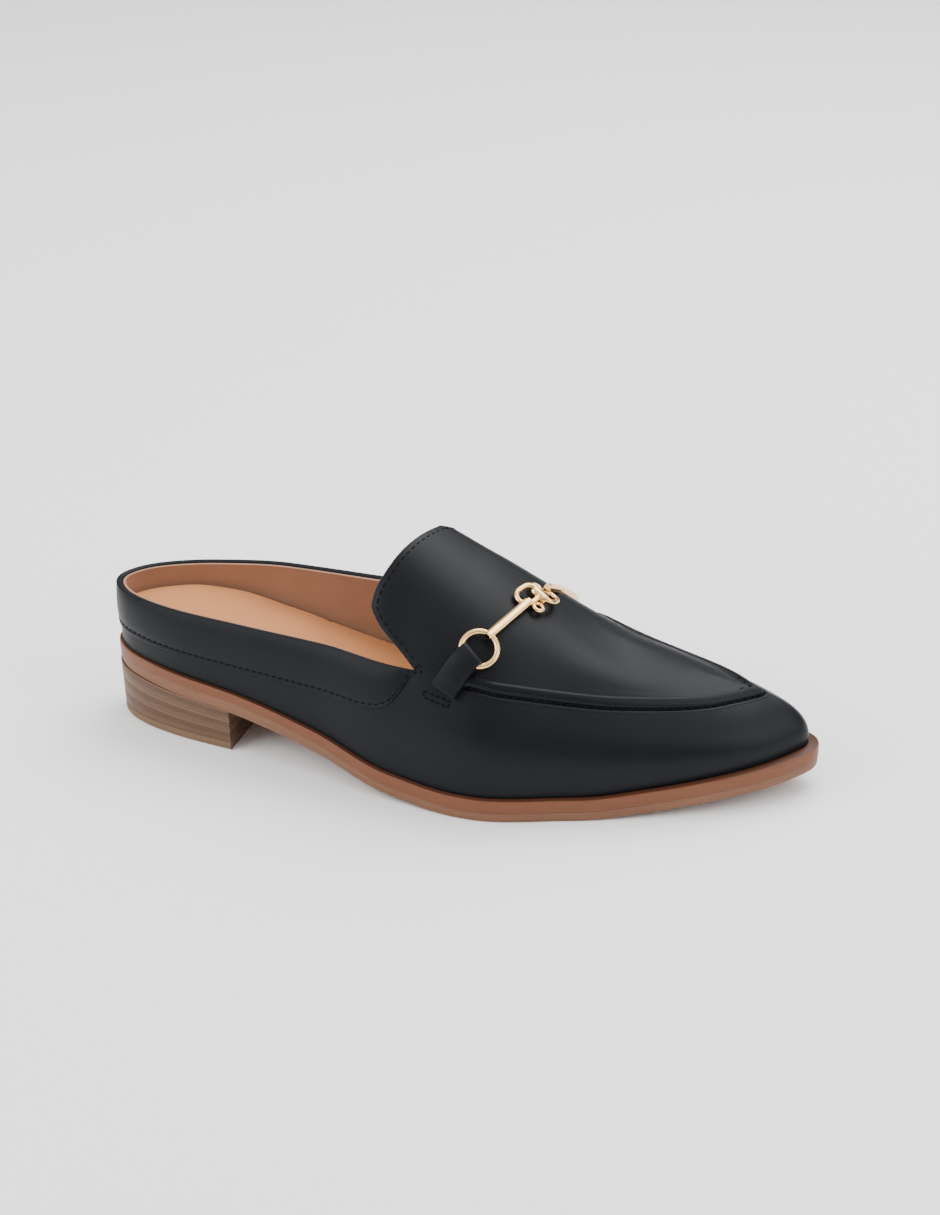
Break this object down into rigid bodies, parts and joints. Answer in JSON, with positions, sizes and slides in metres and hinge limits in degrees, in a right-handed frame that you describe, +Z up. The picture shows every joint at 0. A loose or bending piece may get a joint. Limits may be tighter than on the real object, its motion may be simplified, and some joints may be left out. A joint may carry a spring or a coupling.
{
  "type": "slip-on loafer mule, right shoe",
  "caption": "Women's right slip-on loafer mule: closed almond toe, moccasin seam, low collar round the heel, stacked heel and metal bit on the instep.",
  "frame": {"origin": "middle of the heel's tread, on the floor that the shoe stands on", "axes": "+X from the heel towards the toe, +Y towards the inner (medial) side of the right foot, +Z up"},
  "size_m": [0.2611, 0.09, 0.0855],
  "materials": {
    "upper_leather": "smooth black leather with a soft sheen",
    "tab_leather": "black leather strap",
    "footbed_suede": "tan suede footbed, matt",
    "welt_leather": "tan edge, satin",
    "sole_leather": "grey-brown leather edge, matt",
    "heel_leather": "stacked leather with light lines between its layers, satin",
    "heel_rubber": "olive-brown tread, matt",
    "bit_gold": "pale gold, polished"
  },
  "bodies": {
    "root": {"outsole": "sole_leather", "midsole": "welt_leather", "heel_stack": "heel_leather", "heel_top_piece": "heel_rubber", "upper": "upper_leather", "insole": "footbed_suede", "tab_lateral": "tab_leather", "tab_medial": "tab_leather", "ring_lateral": "bit_gold", "ring_medial": "bit_gold", "bar_lateral": "bit_gold", "bar_medial": "bit_gold", "bit_centre": "bit_gold"}
  },
  "joints": []
}
